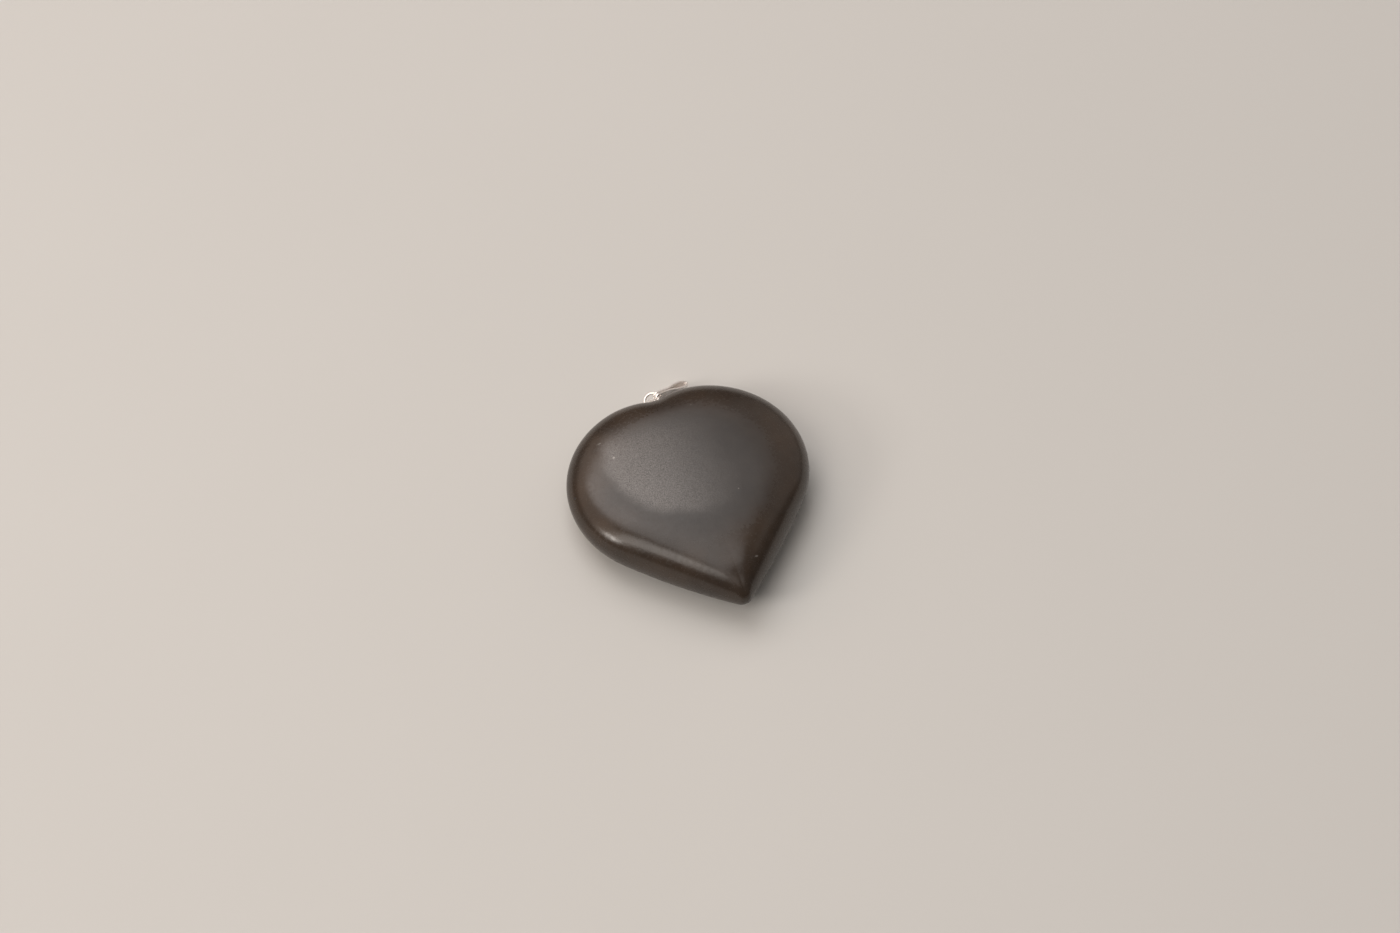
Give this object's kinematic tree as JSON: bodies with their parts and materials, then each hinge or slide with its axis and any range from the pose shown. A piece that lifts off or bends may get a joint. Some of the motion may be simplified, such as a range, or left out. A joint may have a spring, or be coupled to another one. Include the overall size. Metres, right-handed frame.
{
  "type": "heart pendant",
  "caption": "Thick polished stone heart pendant: an eye on a peg is glued into its notch, and a jump ring joins the eye to a folded, tapered bail.",
  "frame": {"origin": "centre of the small flat on the back of the stone, on the surface that the pendant lies on", "axes": "+Y from the heart's tip to its notch, +Z out of the front face, +X to the lobe that the bail lies behind"},
  "size_m": [0.0446, 0.0508, 0.0125],
  "materials": {
    "stone": "polished, with a satin bloom on the broad face",
    "silver": "bright polished silver",
    "glue": "cured clear adhesive"
  },
  "bodies": {
    "pendant": {"heart_stone": "stone", "peg_eye": "silver", "peg_glue": "glue"},
    "ring": {"jump_ring": "silver"},
    "bail": {"bail": "silver"}
  },
  "joints": [
    {"name": "ring_turn", "type": "hinge", "parent": "pendant", "child": "ring", "pos_m": [0.00015, 0.023, 0.005], "axis": [0, -1, 0], "range_deg": [0, 100]},
    {"name": "bail_swing", "type": "hinge", "parent": "ring", "child": "bail", "pos_m": [0.00139, 0.02427, 0.00558], "axis": [0.1261, -0.9903, 0.0588], "range_deg": [0, 110]}
  ]
}
